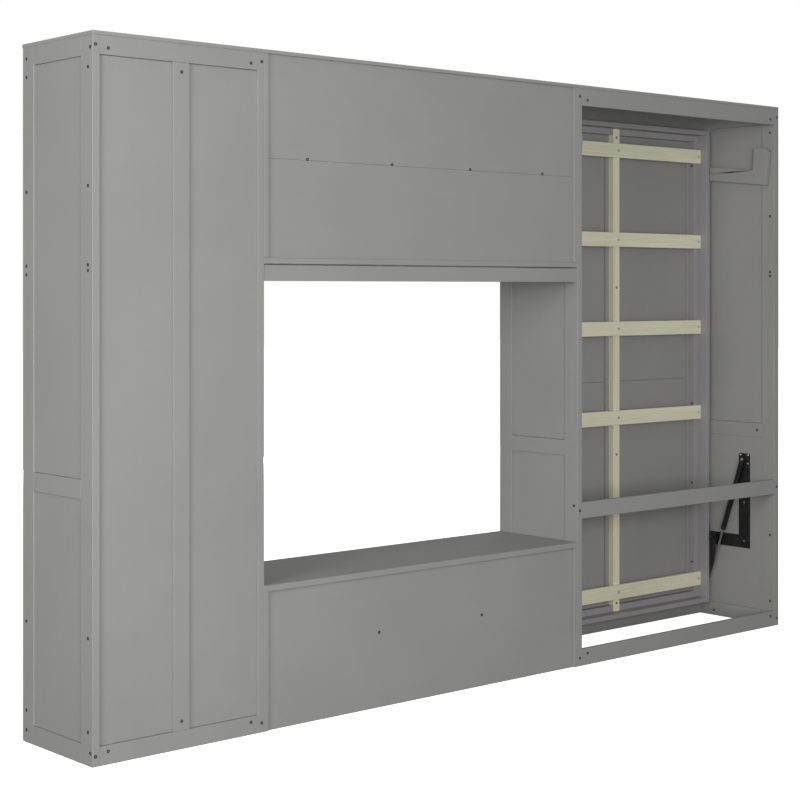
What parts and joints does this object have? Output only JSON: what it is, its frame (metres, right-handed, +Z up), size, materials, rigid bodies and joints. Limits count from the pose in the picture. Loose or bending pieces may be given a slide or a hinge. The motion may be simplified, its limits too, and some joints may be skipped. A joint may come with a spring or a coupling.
{
  "type": "murphy wall bed",
  "caption": "Folding single wall bed in a painted wall unit, with a wardrobe tower, an open TV bay, overhead cabinet and drawers; gas struts and swing legs.",
  "frame": {"origin": "on the floor, at the middle of the unit's outline", "axes": "+X along the wall towards the wardrobe, +Y towards the wall, +Z up; the room is on the -Y side"},
  "size_m": [3.302, 0.439, 2.16],
  "materials": {
    "grey_paint": "satin painted board",
    "inner_paint": "satin painted board",
    "bare_wood": "planed pale softwood",
    "black_steel": "satin black",
    "bright_steel": "bright"
  },
  "bodies": {
    "cabinet": {"wardrobe_outer_side": "grey_paint", "wardrobe_inner_side": "grey_paint", "wardrobe_top": "grey_paint", "wardrobe_back": "grey_paint", "wardrobe_shelves": "inner_paint", "hanging_rail": "bright_steel", "hanging_rail_sockets": "bright_steel", "upper_cabinet_top": "grey_paint", "upper_cabinet_ends": "grey_paint", "upper_cabinet_floor": "grey_paint", "upper_cabinet_back": "grey_paint", "upper_cabinet_shelves": "inner_paint", "upper_cabinet_rear_rail": "grey_paint", "lower_cabinet_top": "grey_paint", "lower_cabinet_ends": "grey_paint", "lower_cabinet_floor": "inner_paint", "lower_cabinet_back": "grey_paint", "bed_bay_inner_side": "grey_paint", "bed_bay_outer_side": "grey_paint", "bed_bay_top": "grey_paint", "bed_bay_rear_rails": "grey_paint", "bed_bay_header": "grey_paint", "plinth_boards": "grey_paint", "bay_pivot_plates": "black_steel", "door_hinge_bases": "bright_steel", "drawer_runners": "bright_steel", "cabinet_screws": "black_steel"},
    "bed": {"bed_side_rails": "inner_paint", "bed_end_rails": "inner_paint", "bed_slat_ledgers": "inner_paint", "bed_centre_beam": "bare_wood", "bed_slats": "bare_wood", "bed_facade_frame": "grey_paint", "bed_facade_panels": "grey_paint", "bed_handles": "black_steel", "bed_pivot_plates": "black_steel", "bed_leg_bolts": "black_steel", "bed_screws": "black_steel"},
    "leg_inner": {"leg_inner": "grey_paint"},
    "leg_outer": {"leg_outer": "grey_paint"},
    "strut_tube_inner": {"strut_tube_inner": "black_steel"},
    "strut_tube_outer": {"strut_tube_outer": "black_steel"},
    "strut_rod_inner": {"strut_rod_inner": "bright_steel"},
    "strut_rod_outer": {"strut_rod_outer": "bright_steel"},
    "wardrobe_door_inner": {"wardrobe_door_inner": "grey_paint", "wardrobe_door_inner_fittings": "black_steel"},
    "wardrobe_door_outer": {"wardrobe_door_outer": "grey_paint", "wardrobe_door_outer_fittings": "black_steel"},
    "upper_door_1": {"upper_door_1": "grey_paint", "upper_door_1_fittings": "black_steel"},
    "upper_door_2": {"upper_door_2": "grey_paint", "upper_door_2_fittings": "black_steel"},
    "upper_door_3": {"upper_door_3": "grey_paint", "upper_door_3_fittings": "black_steel"},
    "drawer_1": {"drawer_1_box": "bare_wood", "drawer_1_front": "grey_paint"},
    "drawer_2": {"drawer_2_box": "bare_wood", "drawer_2_front": "grey_paint"},
    "drawer_3": {"drawer_3_box": "bare_wood", "drawer_3_front": "grey_paint"}
  },
  "joints": [
    {"name": "bed_pivot", "type": "hinge", "parent": "cabinet", "child": "bed", "pos_m": [-1.037, -0.0865, 0.34], "axis": [1, 0, 0], "range_deg": [0, 90], "stiffness_Nm_per_rad": 75, "springref_deg": -22.92},
    {"name": "leg_inner_swing", "type": "hinge", "parent": "bed", "child": "leg_inner", "pos_m": [-1.037, -0.1165, 1.897], "axis": [1, 0, 0], "range_deg": [-174, 0]},
    {"name": "strut_tube_inner_swing", "type": "hinge", "parent": "cabinet", "child": "strut_tube_inner", "pos_m": [-1.037, 0.0625, 0.682], "axis": [1, 0, 0], "range_deg": [0, 28.24]},
    {"name": "strut_rod_inner_slide", "type": "slide", "parent": "strut_tube_inner", "child": "strut_rod_inner", "axis": [0, 0.3173, 0.9483], "range_m": [0, 0.20195]},
    {"name": "leg_outer_swing", "type": "hinge", "parent": "bed", "child": "leg_outer", "pos_m": [-1.037, -0.1165, 1.897], "axis": [1, 0, 0], "range_deg": [-174, 0]},
    {"name": "strut_tube_outer_swing", "type": "hinge", "parent": "cabinet", "child": "strut_tube_outer", "pos_m": [-1.037, 0.0625, 0.682], "axis": [1, 0, 0], "range_deg": [0, 28.24]},
    {"name": "strut_rod_outer_slide", "type": "slide", "parent": "strut_tube_outer", "child": "strut_rod_outer", "axis": [0, 0.3173, 0.9483], "range_m": [0, 0.20195]},
    {"name": "wardrobe_door_inner_hinge", "type": "hinge", "parent": "cabinet", "child": "wardrobe_door_inner", "pos_m": [1.0505, -0.1963, 1.1], "axis": [0, 0, -1], "range_deg": [0, 90]},
    {"name": "wardrobe_door_outer_hinge", "type": "hinge", "parent": "cabinet", "child": "wardrobe_door_outer", "pos_m": [1.6235, -0.1963, 1.1], "axis": [0, 0, 1], "range_deg": [0, 90]},
    {"name": "upper_door_1_hinge", "type": "hinge", "parent": "cabinet", "child": "upper_door_1", "pos_m": [-0.4045, -0.1963, 1.811], "axis": [0, 0, -1], "range_deg": [0, 90]},
    {"name": "upper_door_2_hinge", "type": "hinge", "parent": "cabinet", "child": "upper_door_2", "pos_m": [0.07217, -0.1963, 1.811], "axis": [0, 0, -1], "range_deg": [0, 90]},
    {"name": "upper_door_3_hinge", "type": "hinge", "parent": "cabinet", "child": "upper_door_3", "pos_m": [1.0045, -0.1963, 1.811], "axis": [0, 0, 1], "range_deg": [0, 90]},
    {"name": "drawer_1_slide", "type": "slide", "parent": "cabinet", "child": "drawer_1", "axis": [0, -1, 0], "range_m": [0, 0.3]},
    {"name": "drawer_2_slide", "type": "slide", "parent": "cabinet", "child": "drawer_2", "axis": [0, -1, 0], "range_m": [0, 0.3]},
    {"name": "drawer_3_slide", "type": "slide", "parent": "cabinet", "child": "drawer_3", "axis": [0, -1, 0], "range_m": [0, 0.3]}
  ],
  "couplings": [
    {"joint": "leg_inner_swing", "follows": "bed_pivot", "ratio": -1.9333},
    {"joint": "strut_tube_inner_swing", "follows": "bed_pivot", "ratio": 0.31365},
    {"joint": "strut_rod_inner_slide", "follows": "bed_pivot", "m_per_rad": 0.12844},
    {"joint": "leg_outer_swing", "follows": "bed_pivot", "ratio": -1.9333},
    {"joint": "strut_tube_outer_swing", "follows": "bed_pivot", "ratio": 0.31365},
    {"joint": "strut_rod_outer_slide", "follows": "bed_pivot", "m_per_rad": 0.12844}
  ]
}
